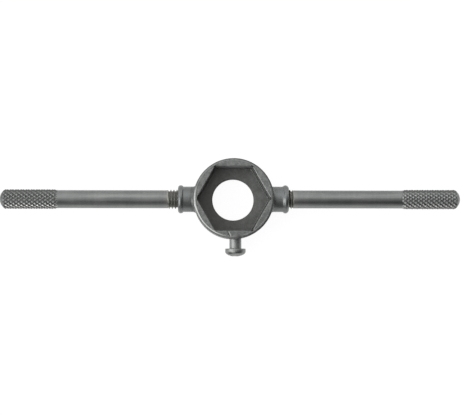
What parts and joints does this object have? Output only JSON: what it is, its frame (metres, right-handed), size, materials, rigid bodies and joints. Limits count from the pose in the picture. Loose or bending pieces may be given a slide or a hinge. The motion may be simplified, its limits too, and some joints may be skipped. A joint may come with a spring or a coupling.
{
  "type": "die stock",
  "caption": "Hand die stock: cast ring with a hexagon die pocket, screwed-in steel handles with diamond-knurled grips, and a clamp screw.",
  "frame": {"origin": "on the axis of the work hole, at the ring's flat back face", "axes": "+Z along the work hole's axis, out of the die pocket; X along the handles, with the handle that shows more thread towards -X; -Y towards the clamp screw's head"},
  "size_m": [0.1867, 0.0394, 0.014],
  "materials": {
    "cast_metal": "satin, fine cast grain, darker inside the pocket",
    "handle_steel": "turned and knurled, plain steel",
    "screw_steel": "plated, satin"
  },
  "bodies": {
    "head": {"body": "cast_metal"},
    "left_handle": {"left_handle": "handle_steel"},
    "right_handle": {"right_handle": "handle_steel"},
    "clamp_screw": {"clamp_screw": "screw_steel"}
  },
  "joints": [
    {"name": "left_handle_travel", "type": "slide", "parent": "head", "child": "left_handle", "axis": [-1, 0, 0], "range_m": [-0.0026, 0.0032]},
    {"name": "right_handle_travel", "type": "slide", "parent": "head", "child": "right_handle", "axis": [1, 0, 0], "range_m": [-0.0003, 0.0055]},
    {"name": "clamp_screw_travel", "type": "slide", "parent": "head", "child": "clamp_screw", "axis": [0, -1, 0], "range_m": [-0.0035, 0.0019]}
  ]
}
